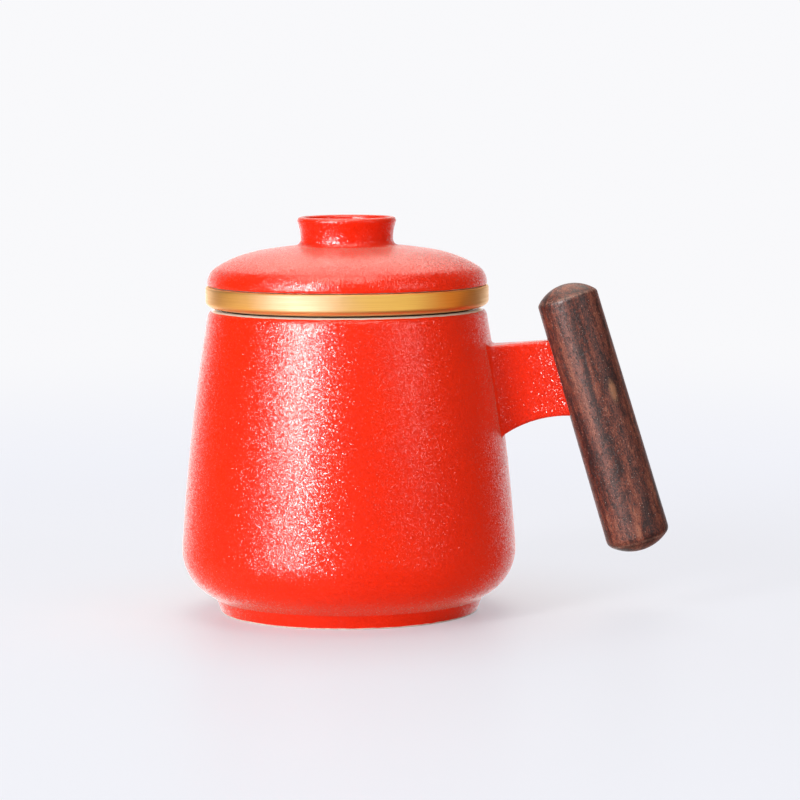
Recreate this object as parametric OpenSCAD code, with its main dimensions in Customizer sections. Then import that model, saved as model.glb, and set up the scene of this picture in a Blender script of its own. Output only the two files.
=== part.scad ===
// Lidded tea mug with a lift-out infuser and a wooden grip beside the body.
// Millimetres, +Z up, origin on the table at the centre of the foot ring, grip towards +X.
// The mug carries the infuser on its rim, and the infuser carries the lid on its flange.

/* [Mug body] */
// Height of the rim above the table
mug_h = 87; // [80:0.5:91]
// Largest radius, low on the belly
belly_r = 47.9; // [47:0.1:52]
// Height of the widest point of the belly
belly_z = 18; // [17:0.5:24]
// Rounding that turns the side into the underside
belly_round = 14.3; // [12:0.1:16]
// Radius of the slightly bowed side, seen in section
side_bow = 616; // [500:1:1200]
// Lean of the side just above the belly, in degrees
side_lean = 3.8; // [2:0.1:4.5]
// Slope of the underside against the table, in degrees
underside_slope = 32.8; // [28:0.2:40]
// Thickness of the wall
wall_t = 4; // [3.8:0.1:5]
// Rounding of the outer edge of the rim
lip_round = 2.4; // [1:0.1:2.6]
// Rounding of the inner edge of the rim
lip_inner_round = 1.2; // [0.4:0.1:1.4]

/* [Foot ring] */
// Outer radius of the foot ring on the table
foot_r = 36.8; // [34:0.1:37.5]
// Outer radius of the foot ring where the underside meets it
foot_top_r = 38.4; // [37.6:0.1:40]
// Width of the foot ring on the table
foot_w = 3.4; // [2.5:0.1:5]
// Depth of the hollow inside the foot ring
foot_hollow = 3; // [1:0.1:3.4]

/* [Handle lug] */
// Height of the lug's top edge where it leaves the mug
lug_top_z = 76.2; // [72:0.1:78]
// Rise of the lug's top edge towards the grip, in degrees
lug_rise = 4.9; // [0:0.1:8]
// Radius of the hollow curve under the lug
lug_under_r = 33; // [30:0.5:45]
// Height of the top of the hollow curve under the lug
lug_under_z = 56.5; // [53:0.1:60]
// Distance of the top of that curve from the mug's axis
lug_under_x = 63.3; // [60:0.1:66]
// Thickness of the lug where it enters the grip
lug_t = 5.8; // [4.5:0.1:7]
// Radius of the flare that widens the lug towards the mug
lug_flare_r = 30; // [24:0.5:40]
// Distance from the mug's axis at which the flare starts
lug_flare_x = 56; // [54:0.5:58]

/* [Grip] */
// Tilt of the grip from upright, in degrees
grip_tilt = 16.5; // [10:0.1:20]
// Distance of the grip's upper edge centre from the mug's axis
grip_x = 63.1; // [62:0.1:68]
// Height of the grip's upper edge centre
grip_z = 89.3; // [84:0.1:94]
// Length between the grip's two edges, without the domed ends
grip_len = 69.2; // [62:0.1:74]
// Radius of the grip at its upper edge
grip_top_r = 8.7; // [8:0.1:10]
// Radius of the grip at its lower edge
grip_low_r = 9.1; // [8:0.1:10]
// Height of the dome on the upper end
grip_top_dome = 4.6; // [3.5:0.1:6]
// Height of the dome on the lower end
grip_low_dome = 5; // [4:0.1:6]
// Rounding of the upper edge
grip_top_round = 1.5; // [0.5:0.1:2.5]
// Rounding of the lower edge
grip_low_round = 2.6; // [0.5:0.1:3]
// Distance from the grip's centre line at which the tenon ends
tenon_short = 0.6; // [0.2:0.1:3]
// Thickness of the adhesive around the tenon
glue_t = 0.3; // [0.2:0.05:0.6]

/* [Infuser] */
// Outer radius of the gold band on the flange
band_r = 40.4; // [39.5:0.1:42]
// Height of the flange with its band
band_h = 6.3; // [5:0.1:7]
// Thickness of the gold band
band_t = 1.2; // [0.8:0.1:1.5]
// Rounding of the band's lower edge
band_low_round = 3; // [2:0.1:3.2]
// Rounding of the band's upper edge
band_top_round = 0.8; // [0.3:0.1:1]
// Inner radius of the infuser's mouth
mouth_r = 31; // [30.5:0.1:31.5]
// Outer radius of the cup just under the flange
cup_top_r = 34.4; // [33.5:0.1:34.8]
// Outer radius of the cup where its bottom rounding starts
cup_low_r = 31; // [28:0.1:33]
// Depth of the cup under the flange
cup_depth = 60; // [45:1:62]
// Thickness of the cup's wall and floor
cup_t = 3; // [2.4:0.1:3.4]
// Rounding of the cup's bottom edge
cup_round = 7; // [5:0.5:9]
// Diameter of one strainer hole
hole_d = 2.4; // [1.6:0.1:3]
// Strainer holes in one row round the wall
holes_round = 14; // [8:1:18]
// Rows of strainer holes in the wall
hole_rows = 4; // [1:1:5]
// Pitch of the rows in the wall and of the rings in the floor
hole_pitch = 8; // [6:0.5:9]
// Rings of strainer holes in the floor, round the middle one
floor_rings = 2; // [1:1:2]

/* [Lid] */
// Largest radius of the lid
lid_r = 39.95; // [39:0.05:41]
// Rounding of the lid's outer edge, seen in section
lid_edge_round = 5.6; // [4:0.1:6.5]
// Height of that rounding's centre above the seat
lid_edge_rise = 0.5; // [0.2:0.1:1]
// Radius of the shoulder between edge and crown, seen in section
lid_shoulder = 34; // [28:0.5:40]
// Angle at which the edge rounding runs into the shoulder
shoulder_from = 58.5; // [50:0.5:62]
// Angle at which the shoulder runs into the crown
crown_from = 80.3; // [76:0.1:82]
// Thickness of the lid's shell
lid_t = 4.4; // [3.5:0.1:5]
// Rounding of the lid's lower edge
lid_corner_round = 0.7; // [0.3:0.1:1.2]
// Outer radius of the locating collar
collar_r = 30.2; // [27:0.1:30.4]
// Thickness of the locating collar
collar_t = 2.8; // [2:0.1:4]
// Depth of the locating collar
collar_h = 6; // [4:0.1:10]

/* [Knob] */
// Radius of the knob's neck
neck_r = 13.2; // [11:0.1:15]
// Rounding from the crown into the neck
neck_fillet = 2; // [1:0.1:3]
// Radius of the hollow side of the knob, seen in section
knob_flare = 14; // [10:0.5:30]
// Height of the knob's rim above the mug's rim
knob_rise = 25.9; // [24:0.1:28]
// Rounding of the knob's rim
knob_rim_round = 1.1; // [0.6:0.1:1.5]
// Depth of the dish in the top of the knob
dish_depth = 4.6; // [2:0.1:6]
// Rounding at the bottom of the dish
dish_round = 3; // [1:0.1:4]

/* [Hidden] */
$fn = 96;
seat_gap = 0.1;
big = 200;

// Points of an arc in the section plane, from one angle to another.
function arc(c, r, from, to, n) =
    [for (i = [0:n]) let (a = from + (to - from) * i / n) [c.x + r * cos(a), c.y + r * sin(a)]];
// The point at an angle and distance from a centre.
function polar(c, r, a) = [c.x + r * cos(a), c.y + r * sin(a)];

// Mug: centres of the arcs in its section.
belly_c = [belly_r - belly_round, belly_z];
side_c = polar(belly_c, belly_round - side_bow, side_lean);
lip_angle = asin((mug_h - lip_round - side_c.y) / (side_bow - lip_round));
lip_c = polar(side_c, side_bow - lip_round, lip_angle);
inner_bow = side_bow - wall_t;
lip_inner_angle = asin((mug_h - lip_inner_round - side_c.y) / (inner_bow + lip_inner_round));
lip_inner_c = polar(side_c, inner_bow + lip_inner_round, lip_inner_angle);
underside_from = underside_slope - 90;
underside_p = polar(belly_c, belly_round, underside_from);
foot_top_z = underside_p.y - (underside_p.x - foot_top_r) * tan(underside_slope);

// Lug: it starts inside the mug's wall, and the mug's outer shape is then cut away from it.
lug_root_x = lip_c.x;

// Grip: unit vector across its axis, away from the mug, and where the tenon ends.
grip_out = [cos(grip_tilt), sin(grip_tilt)];
tenon_end = [grip_x, grip_z] - tenon_short * grip_out;

// Infuser: the flange rests on the mug's rim, and the band follows its lower edge.
flange_z = mug_h + seat_gap;
flange_top = flange_z + band_h;
flange_r = band_r - band_t;
band_c = [band_r - band_low_round, flange_z + band_low_round];
cup_z = flange_z - cup_depth;
cup_c = [cup_low_r - cup_round, cup_z + cup_round];
cup_lean = atan((cup_top_r - cup_low_r) / (cup_depth - cup_round));
cup_inner_round = cup_round - cup_t;
mouth_round = 1;

// Lid: centres of the arcs in its section.
lid_z = flange_top + seat_gap;
edge_c = [lid_r - lid_edge_round, lid_z + lid_edge_rise];
corner_angle = asin((lid_corner_round - lid_edge_rise) / (lid_edge_round - lid_corner_round));
corner_c = polar(edge_c, lid_edge_round - lid_corner_round, corner_angle);
shoulder_c = polar(edge_c, lid_edge_round - lid_shoulder, shoulder_from);
crown_c = [0, shoulder_c.y - shoulder_c.x * tan(crown_from)];
crown_r = lid_shoulder + shoulder_c.x / cos(crown_from);
crown_to = acos((neck_r + neck_fillet) / (crown_r + neck_fillet));
fillet_c = polar(crown_c, crown_r + neck_fillet, crown_to);
knob_c = [neck_r + knob_flare, fillet_c.y];
knob_top = mug_h + knob_rise;
rim_angle = asin((knob_top - knob_rim_round - knob_c.y) / (knob_flare + knob_rim_round));
rim_c = polar(knob_c, knob_flare + knob_rim_round, 180 - rim_angle);
dish_r = rim_c.x - knob_rim_round;
dish_z = knob_top - dish_depth;
collar_in_r = collar_r - collar_t;
lid_inner_r = crown_r - lid_t;

// Outer outline of the mug from the table to the rim.
function mug_outer() = concat(
    [[foot_r, 0], [foot_top_r, foot_top_z]],
    arc(belly_c, belly_round, underside_from, side_lean, 16),
    arc(side_c, side_bow, side_lean, lip_angle, 10),
    arc(lip_c, lip_round, lip_angle, 90, 8)
);

// Inner outline of the mug from the rim to the middle of the floor.
function mug_inner() = concat(
    arc(lip_inner_c, lip_inner_round, 90, 180 + lip_inner_angle, 5),
    arc(side_c, inner_bow, lip_inner_angle, side_lean, 10),
    arc(belly_c, belly_round - wall_t, side_lean, -90, 14)
);

// The mug as one thick shell of revolution, with a hollow inside its foot ring.
module mug_body() color("orangered") {
    foot_in_r = foot_r - foot_w;
    rotate_extrude() polygon(concat(
        [[foot_in_r, 0]],
        mug_outer(),
        mug_inner(),
        [[0, belly_z - belly_round + wall_t], [0, foot_hollow], [foot_in_r - foot_hollow / 3, foot_hollow]]
    ));
}

// The space that the mug fills with its outer shape, to fit the lug against it.
module mug_space() {
    rotate_extrude() polygon(concat([[0, 0]], mug_outer(), [[0, mug_h]]));
}

// Side view of the lug: straight top, hollow underside, end along the grip. grow widens it all round.
module lug_side(grow) {
    top_z = lug_top_z + grow / cos(lug_rise);
    difference() {
        polygon([
            [lug_root_x, lug_under_z - lug_under_r],
            [lug_root_x, top_z],
            [grip_x + big, top_z + (grip_x + big - lug_root_x) * tan(lug_rise)],
            [grip_x + big, lug_under_z - lug_under_r]
        ]);
        translate([lug_under_x, lug_under_z - lug_under_r]) circle(r = lug_under_r - grow, $fn = 160);
        translate(tenon_end + grow * grip_out) rotate(-90 + grip_tilt)
            translate([-big, 0]) square([2 * big, big]);
    }
}

// Plan of the lug: parallel where it enters the grip, flared towards the mug.
module lug_plan(grow) {
    half = lug_t / 2 + grow;
    flare_to = asin((lug_flare_x - lug_root_x) / (lug_flare_r - grow));
    flare = arc([lug_flare_x, lug_t / 2 + lug_flare_r], lug_flare_r - grow, -90, -90 - flare_to, 14);
    polygon(concat(
        [[grip_x + 30, half]],
        flare,
        [for (i = [len(flare) - 1:-1:0]) [flare[i].x, -flare[i].y]],
        [[grip_x + 30, -half]]
    ));
}

// The lug with its tenon, before it is fitted against the mug.
module lug_blank(grow) {
    intersection() {
        rotate([90, 0, 0]) translate([0, 0, -big / 2]) linear_extrude(big) lug_side(grow);
        linear_extrude(2 * mug_h) lug_plan(grow);
    }
}

// Glazed lug that carries the grip, bedded on the mug's side.
module handle_lug() color("orangered") {
    difference() {
        lug_blank(0);
        mug_space();
    }
}

// Outline of one domed end: side edge at height 0, dome above it.
function grip_end(r, edge, dome) =
    let (k = (pow(r - edge, 2) - pow(dome - edge, 2)) / (2 * (dome - edge)))
    let (meet = atan2(k, r - edge))
    concat(arc([r - edge, 0], edge, 0, meet, 5), arc([0, -k], dome + k, meet, 90, 10));

// The solid grip before the mortise is cut, on the z axis with its upper edge at height 0.
module grip_blank() {
    top = grip_end(grip_top_r, grip_top_round, grip_top_dome);
    low = grip_end(grip_low_r, grip_low_round, grip_low_dome);
    rotate_extrude() polygon(concat(
        [for (p = low) [p.x, -grip_len - p.y]],
        [for (i = [len(top) - 1:-1:0]) top[i]]
    ));
}

// Moves the grip from the z axis to its place.
module at_grip() {
    translate([grip_x, 0, grip_z]) rotate([0, -grip_tilt, 0]) children();
}

// Turned wooden grip with the mortise for the lug's tenon.
module wooden_grip() color("saddlebrown") {
    difference() {
        at_grip() grip_blank();
        lug_blank(glue_t);
    }
}

// Adhesive that fills the mortise around the tenon.
module grip_adhesive() color("burlywood") {
    difference() {
        intersection() {
            lug_blank(glue_t);
            at_grip() grip_blank();
        }
        lug_blank(0);
    }
}

// Section of the infuser's cup and flange.
function infuser_outline() = concat(
    [[0, cup_z]],
    arc(cup_c, cup_round, -90, -cup_lean, 8),
    [[cup_top_r, flange_z], [band_c.x, flange_z], [band_c.x, flange_z + band_t]],
    arc(band_c, band_low_round - band_t, -90, 0, 6),
    [[flange_r, flange_top]],
    arc([mouth_r + mouth_round, flange_top - mouth_round], mouth_round, 90, 180, 4),
    [[cup_top_r - cup_t, flange_z]],
    arc(cup_c, cup_inner_round, -cup_lean, -90, 8),
    [[0, cup_z + cup_t]]
);

// Strainer holes: staggered rows round the wall, rings in the floor.
module strainer_holes() {
    hole_from = cup_low_r - 2 * cup_t;
    for (row = [0:hole_rows - 1], i = [0:holes_round - 1])
        rotate([0, 0, (i + row / 2) * 360 / holes_round])
            translate([hole_from, 0, cup_z + cup_round + hole_d + row * hole_pitch])
                rotate([0, 90, 0]) cylinder(d = hole_d, h = cup_top_r - hole_from, $fn = 24);
    for (ring = [0:floor_rings], i = [0:max(1, 6 * ring) - 1])
        rotate([0, 0, i * 360 / max(1, 6 * ring)])
            translate([ring * hole_pitch, 0, cup_z - 1]) cylinder(d = hole_d, h = cup_t + 2, $fn = 24);
}

// Perforated ceramic cup that hangs in the mug from its flange.
module infuser_cup() color("white") {
    difference() {
        rotate_extrude() polygon(infuser_outline());
        strainer_holes();
    }
}

// Gold band that caps the outside of the flange.
module gold_band() color("goldenrod") {
    top_c = [band_r - band_top_round, flange_top - band_top_round];
    rotate_extrude() polygon(concat(
        arc(band_c, band_low_round, -90, 0, 8),
        arc(top_c, band_top_round, 0, 90, 4),
        [[flange_r, flange_top]],
        arc(band_c, band_low_round - band_t, 0, -90, 6)
    ));
}

// Outer outline of the lid from its seat over the edge, crown and knob to the dish.
function lid_outer() = concat(
    arc(corner_c, lid_corner_round, -90, corner_angle, 4),
    arc(edge_c, lid_edge_round, corner_angle, shoulder_from, 9),
    arc(shoulder_c, lid_shoulder, shoulder_from, crown_from, 9),
    arc(crown_c, crown_r, crown_from, crown_to, 5),
    arc(fillet_c, neck_fillet, 180 + crown_to, 180, 7),
    arc(knob_c, knob_flare, 180, 180 - rim_angle, 5),
    arc(rim_c, knob_rim_round, -rim_angle, 180, 10),
    arc([dish_r - dish_round, dish_z + dish_round], dish_round, 0, -90, 6),
    [[0, dish_z]]
);

// Domed lid with a hollow knob above and a locating collar below.
module lid() color("orangered") {
    inner_from = acos(collar_in_r / lid_inner_r);
    rotate_extrude() polygon(concat(
        [[collar_r, lid_z]],
        lid_outer(),
        arc(crown_c, lid_inner_r, 90, inner_from, 8),
        [[collar_in_r, lid_z - collar_h], [collar_r, lid_z - collar_h]]
    ));
}

mug_body();
handle_lug();
wooden_grip();
grip_adhesive();
infuser_cup();
gold_band();
lid();
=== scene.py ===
# %% [markdown]
# # A lidded tea mug with an infuser
#
# The mug is a turned ceramic body in a sandy orange-red glaze, with a white glazed inside. A perforated
# infuser hangs in it from a flange with a gold band, and a domed lid with a dished knob closes it. A small
# lug on its side carries a turned wooden grip.
#
# The solids come from a CAD model, packed as a fixed frame. Every piece here is made at the same place and
# size, in metres, with the softer edges and the surfaces that the plain solids lack.

# %% Load the frame
import math

import bpy
from mathutils import Matrix, Vector


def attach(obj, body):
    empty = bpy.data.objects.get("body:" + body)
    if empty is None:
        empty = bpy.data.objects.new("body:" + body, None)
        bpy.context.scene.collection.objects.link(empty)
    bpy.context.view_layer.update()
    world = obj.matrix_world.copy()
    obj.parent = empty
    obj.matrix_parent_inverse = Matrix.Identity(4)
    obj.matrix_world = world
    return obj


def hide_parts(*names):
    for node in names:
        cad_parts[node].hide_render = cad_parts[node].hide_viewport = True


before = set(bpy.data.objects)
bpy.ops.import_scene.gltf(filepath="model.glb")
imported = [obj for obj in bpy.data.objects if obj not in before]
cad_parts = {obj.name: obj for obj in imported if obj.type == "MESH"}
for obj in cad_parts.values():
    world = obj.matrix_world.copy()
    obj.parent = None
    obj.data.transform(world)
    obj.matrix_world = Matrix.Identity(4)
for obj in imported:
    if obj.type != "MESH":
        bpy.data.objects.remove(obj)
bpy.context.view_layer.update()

MM = 0.001
print("CAD nodes:", ", ".join(sorted(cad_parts)))

# %% [markdown]
# ## The camera
#
# A product picture like this is taken from far away with a long lens, so that upright lines stay upright.
# The camera stands almost level with the mug and a few degrees round towards the grip. A camera looks along
# its own minus Z, so its matrix is built from three directions: right, up, and back towards the camera.

# %% Camera
CAMERA_TURN = math.radians(7.0)
CAMERA_RISE = math.radians(5.8)
CAMERA_ROLL = math.radians(0.33)
CAMERA_DISTANCE = 955 * MM
AIM_ACROSS = 14.89 * MM  # the point it aims at lies this far towards the grip
AIM_UP = 60.3 * MM
FOCAL_LENGTH = 150  # of the lens and the sensor, in millimetres
SENSOR_WIDTH = 36

right = Vector((math.cos(CAMERA_TURN), math.sin(CAMERA_TURN), 0))
back = Vector((
    math.sin(CAMERA_TURN) * math.cos(CAMERA_RISE),
    -math.cos(CAMERA_TURN) * math.cos(CAMERA_RISE),
    math.sin(CAMERA_RISE),
))
up = back.cross(right)
place = right * AIM_ACROSS + Vector((0, 0, AIM_UP)) + back * CAMERA_DISTANCE
rolled_right = right * math.cos(CAMERA_ROLL) - up * math.sin(CAMERA_ROLL)
rolled_up = up * math.cos(CAMERA_ROLL) + right * math.sin(CAMERA_ROLL)

lens = bpy.data.cameras.new("camera")
lens.lens = FOCAL_LENGTH
lens.sensor_width = SENSOR_WIDTH
lens.clip_start = 0.05
lens.clip_end = 50
camera = bpy.data.objects.new("camera", lens)
camera.matrix_world = Matrix((
    (rolled_right.x, rolled_up.x, back.x, place.x),
    (rolled_right.y, rolled_up.y, back.y, place.y),
    (rolled_right.z, rolled_up.z, back.z, place.z),
    (0, 0, 0, 1),
))
bpy.context.scene.collection.objects.link(camera)
bpy.context.scene.camera = camera
bpy.context.scene.view_settings.view_transform = "Standard"
print("camera stands at", [round(v, 3) for v in place])

# %% [markdown]
# ## Helpers for materials
#
# A material in Blender is a small network of nodes. A few helpers keep the networks below short. Each of
# them makes a node, fills its sockets with values or with links, and returns it or its output.

# %% Node helpers
def feed(tree, node, inputs):
    """Fills a node's sockets. Each input is a value, or another node's output to link."""
    for key, value in inputs.items():
        if isinstance(value, bpy.types.NodeSocket):
            tree.links.new(value, node.inputs[key])
        else:
            node.inputs[key].default_value = value


def add(tree, kind, inputs=None, **settings):
    """Adds a node with its settings, and fills its sockets."""
    made = tree.nodes.new("ShaderNode" + kind)
    for key, value in settings.items():
        setattr(made, key, value)
    feed(tree, made, inputs or {})
    return made


def calc(tree, operation, a, b=0.0, c=0.0):
    """One step of arithmetic on values or outputs, as an output."""
    return add(tree, "Math", {0: a, 1: b, 2: c}, operation=operation).outputs[0]


def fit(tree, value, low, high, to_low=0.0, to_high=1.0, smooth=True):
    """Maps a value from one range to another and holds it there."""
    kind = "SMOOTHSTEP" if smooth else "LINEAR"
    inputs = {0: value, 1: low, 2: high, 3: to_low, 4: to_high}
    return add(tree, "MapRange", inputs, interpolation_type=kind).outputs[0]


def blend(tree, share, a, b, kind="MIX"):
    """Mixes two colours, as an output. A colour is a tuple of three numbers, or an output."""
    a, b = ((*v, 1) if isinstance(v, tuple) else v for v in (a, b))
    return add(tree, "Mix", {0: share, 6: a, 7: b}, data_type="RGBA", blend_type=kind).outputs[2]


def new_material(name):
    """A material with its Principled shader, and the place of each point on the object."""
    made = bpy.data.materials.new(name)
    made.use_nodes = True
    tree = made.node_tree
    shader = next(n for n in tree.nodes if n.type == "BSDF_PRINCIPLED")
    spot = add(tree, "TexCoord").outputs["Object"]
    return made, tree, shader, spot


def dress(piece, material):
    """Gives a piece its material."""
    piece.data.materials.append(material)
    print(f"{piece.name}: {material.name}, {len(material.node_tree.nodes)} nodes")


# %% [markdown]
# ## The room
#
# The object stands on a plain pale floor in front of a white surround. The Light Path node tells who looks at
# the surround, so that it can answer in three ways. The camera sees a strength just under 1, which is white
# without clipping. Matt surfaces get a weaker light, mostly from the front, where large white boards would
# stand. A mirror image shows white only behind the object, brighter at the left. In front, where a studio is
# dark, it is a dim warm brown, and that keeps a glossy red glaze red. The pale tone from below stands in for
# the lit floor, which is left out of mirror images.
#
# The way a ray goes has three parts from -1 to 1: across to the right, in depth to the back, and up. A pair
# of numbers below is where one tone starts to give way to the next, and where it has done so.

# %% Surround
WHITE_SEEN = (0.945, 0.945, 0.965)
SURROUND_LIGHT = 0.42  # soft light from the sides and the back
BOARD_LIGHT = 0.72  # and from the boards
BOARD_AT = (0.22, -0.95, 0.20)  # which way the boards stand
FRONT_GLOSS = (0.10, 0.05, 0.015)
BACK_LEFT_GLOSS = (2.45, 2.45, 2.50)
BACK_RIGHT_GLOSS = (1.80, 1.80, 1.90)
BACK_SIDES = (-0.35, 0.15)  # across, from left to right
BACK_DEPTH = (0.60, 0.92)  # in depth, from the dark front to the white back
BACK_SHORTER = 0.12  # how much deeper the white starts at the right
BACK_HEIGHT = (-0.08, 0.28)  # up, from the full white
BACK_TOP = 0.4  # to this share of it
LOW_LEFT_GLOSS = (0.70, 0.50, 0.38)
LOW_RIGHT_GLOSS = (0.20, 0.08, 0.045)
LOW_SIDES = (-0.2, 0.6)
LOW_HEIGHT = (-0.16, 0.02)  # up, from the tone from below to none

world = bpy.data.worlds.new("studio")
world.use_nodes = True
world.cycles.sampling_method = "NONE"
bpy.context.scene.world = world
air = world.node_tree
background = next(n for n in air.nodes if n.type == "BACKGROUND")
ray = add(air, "LightPath").outputs
way = add(air, "TexCoord").outputs["Generated"]
across, depth, height = add(air, "SeparateXYZ", {0: way}).outputs

board_way = Vector(BOARD_AT).normalized()
board = add(air, "VectorMath", {0: way, 1: board_way}, operation="DOT_PRODUCT").outputs["Value"]
soft_light = fit(air, board, 0.0, 1.0, SURROUND_LIGHT, BOARD_LIGHT)
matt_seen = blend(air, soft_light, (0, 0, 0), WHITE_SEEN)

to_right = fit(air, across, *BACK_SIDES)
back_gloss = blend(air, to_right, BACK_LEFT_GLOSS, BACK_RIGHT_GLOSS)
behind = fit(air, calc(air, "MULTIPLY_ADD", to_right, -BACK_SHORTER, depth), *BACK_DEPTH)
behind = calc(air, "MULTIPLY", behind, fit(air, height, *BACK_HEIGHT, 1.0, BACK_TOP))
gloss_seen = blend(air, behind, FRONT_GLOSS, back_gloss)
low_gloss = blend(air, fit(air, across, *LOW_SIDES), LOW_LEFT_GLOSS, LOW_RIGHT_GLOSS)
from_below = fit(air, height, *LOW_HEIGHT, 1.0, 0.0)
gloss_seen = blend(air, from_below, gloss_seen, low_gloss, "LIGHTEN")

mirrored = calc(air, "MAXIMUM", ray["Is Glossy Ray"], ray["Is Transmission Ray"])
cast = blend(air, mirrored, matt_seen, gloss_seen)
feed(air, background, {"Color": blend(air, ray["Is Camera Ray"], cast, WHITE_SEEN)})
print("nodes in the world:", len(air.nodes))

# %% [markdown]
# The floor is a wide disc that fades into the surround, so that no horizon shows. Its shadows are kept light
# by mixing in plain white that only the camera sees. It casts no shadow itself, because the tall panels
# round the band reach below it.

# %% Floor
FLOOR_RADIUS = 6.0
FLOOR_PAINT = (0.70, 0.715, 0.765, 1)
FLOOR_SEEN = (0.875, 0.885, 0.945)  # the plain white that is mixed in near the object
NEAR = (0.04, 0.12)  # distances from the mug's axis, in metres
MIDDLING = (0.12, 0.42)
FAR = (0.25, 0.90)
NEAR_SHARES = (0.38, 0.70)  # the share of plain white at the first two distances
bpy.ops.object.select_all(action="DESELECT")
bpy.ops.mesh.primitive_circle_add(vertices=96, radius=FLOOR_RADIUS, fill_type="NGON", location=(0, 0, 0))
floor = bpy.context.active_object
floor.name = "floor"
floor.visible_glossy = False
floor.visible_shadow = False

floor_paint, tree, shader, spot = new_material("floor_paint")
feed(tree, shader, {"Base Color": FLOOR_PAINT, "Roughness": 0.42, "Specular IOR Level": 0.45})
seen = add(tree, "LightPath").outputs["Is Camera Ray"]
distance = add(tree, "VectorMath", {0: spot}, operation="LENGTH").outputs["Value"]
near_share = fit(tree, distance, *NEAR, *NEAR_SHARES)
far_share = fit(tree, distance, *MIDDLING, 0.0, 1.0 - NEAR_SHARES[1])
white_share = calc(tree, "MULTIPLY", calc(tree, "ADD", near_share, far_share), seen)
white_seen = blend(tree, fit(tree, distance, *FAR), FLOOR_SEEN, WHITE_SEEN)
glow = add(tree, "Emission", {"Color": white_seen, "Strength": 1.0})
mixed = add(tree, "MixShader", {0: white_share, 1: shader.outputs[0], 2: glow.outputs[0]})
feed(tree, tree.nodes["Material Output"], {"Surface": mixed.outputs[0]})
dress(floor, floor_paint)

# %% [markdown]
# ## Turning on a lathe
#
# Nearly every piece of this mug was turned, on a potter's wheel or in a wood lathe. Blender has the same
# way of working: half of the section is drawn as a line in the XZ plane, and Spin sweeps it round the Z
# axis. The line is drawn as by hand, by extruding one vertex from point to point.

# %% Draw and spin
def mode(name, select=None):
    """Enters EDIT or OBJECT mode. There, the whole mesh can be given SELECT or DESELECT."""
    bpy.ops.object.mode_set(mode=name)
    if select:
        bpy.ops.mesh.select_all(action=select)


def deselect():
    """Leaves edit mode and deselects everything, so that the next operator acts on its own piece."""
    if bpy.context.object and bpy.context.object.mode != "OBJECT":
        mode("OBJECT")
    bpy.ops.object.select_all(action="DESELECT")


def pick(piece):
    """Makes a piece the selected and active object."""
    deselect()
    piece.hide_set(False)
    piece.select_set(True)
    bpy.context.view_layer.objects.active = piece


def draw(name, points, close=False):
    """Draws a line through points by extruding a vertex along them. It ends in object mode."""
    deselect()
    bpy.ops.mesh.primitive_plane_add(size=MM, location=(0, 0, 0))
    piece = bpy.context.active_object
    piece.name = piece.data.name = name
    mode("EDIT")
    bpy.ops.mesh.merge(type="CENTER")
    bpy.ops.transform.translate(value=points[0])
    for start, end in zip(points, points[1:]):
        step = tuple(b - a for a, b in zip(start, end))
        bpy.ops.mesh.extrude_vertices_move(TRANSFORM_OT_translate={"value": step})
    if close:
        bpy.ops.mesh.select_all(action="SELECT")
        mode("OBJECT")
        for v in piece.data.vertices:
            v.select = v.index in (0, len(points) - 1)
        for e in piece.data.edges:
            e.select = False
        mode("EDIT")
        bpy.ops.mesh.edge_face_add()
    mode("OBJECT")
    return piece


def turn(name, outline, segments, close=False):
    """Spins an outline, in millimetres, round the Z axis into a closed piece."""
    piece = draw(name, [(x * MM, 0, z * MM) for x, z in outline], close)
    mode("EDIT", "SELECT")
    bpy.ops.mesh.spin(steps=segments, angle=2 * math.pi, center=(0, 0, 0), axis=(0, 0, 1))
    bpy.ops.mesh.select_all(action="SELECT")
    bpy.ops.mesh.remove_doubles(threshold=1e-6)
    bpy.ops.mesh.normals_make_consistent(inside=False)
    mode("OBJECT")
    return piece


def finish(piece, degrees=35):
    """Smooth shading, with edges sharper than an angle kept crisp. Prints the piece's size."""
    pick(piece)
    bpy.ops.object.shade_smooth_by_angle(angle=math.radians(degrees))
    x, y, z = (v / MM for v in piece.dimensions)
    print(f"{piece.name}: {x:.1f} x {y:.1f} x {z:.1f} mm, {len(piece.data.polygons)} faces")


# %% [markdown]
# ### Points of an outline
#
# A potter's outline is made of arcs that run into each other, with small roundings where two lines meet. All
# of these helpers work in the flat section, in millimetres.

# %% Arcs and roundings
def polar(centre, r, degrees):
    """The point at a distance and angle from a centre."""
    return centre[0] + r * math.cos(math.radians(degrees)), centre[1] + r * math.sin(math.radians(degrees))


def arc(cx, cz, r, start, stop, steps):
    """Points of an arc, with angles in degrees."""
    angles = [math.radians(start + (stop - start) * i / steps) for i in range(steps + 1)]
    return [(cx + r * math.cos(a), cz + r * math.sin(a)) for a in angles]


def rounded(points, radii, steps=5):
    """The same line with its inner corners rounded, each by its own radius."""
    made = [points[0]]
    for before, here, after, r in zip(points, points[1:], points[2:], radii):
        before, here, after = Vector(before), Vector(here), Vector(after)
        a, b = (before - here).normalized(), (after - here).normalized()
        half = a.angle(b) / 2
        middle = here + (a + b).normalized() * (r / math.sin(half))
        first = here + a * (r / math.tan(half)) - middle
        last = here + b * (r / math.tan(half)) - middle
        start = math.atan2(first.y, first.x)
        sweep = (math.atan2(last.y, last.x) - start + math.pi) % (2 * math.pi) - math.pi
        for k in range(steps + 1):
            angle = start + sweep * k / steps
            made.append((middle.x + r * math.cos(angle), middle.y + r * math.sin(angle)))
    return made + [points[-1]]


def join_up(*lines):
    """One line from several, without points that fall on each other."""
    made = []
    for point in (p for line in lines for p in line):
        if not made or math.dist(point, made[-1]) > 1e-4:
            made.append(point)
    return made


# %% [markdown]
# ### Marking the run
#
# A dipped glaze ends on a line round the piece. To find that line again in a material, each vertex is told
# how far along the outline it lies, in an attribute called run.

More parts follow.
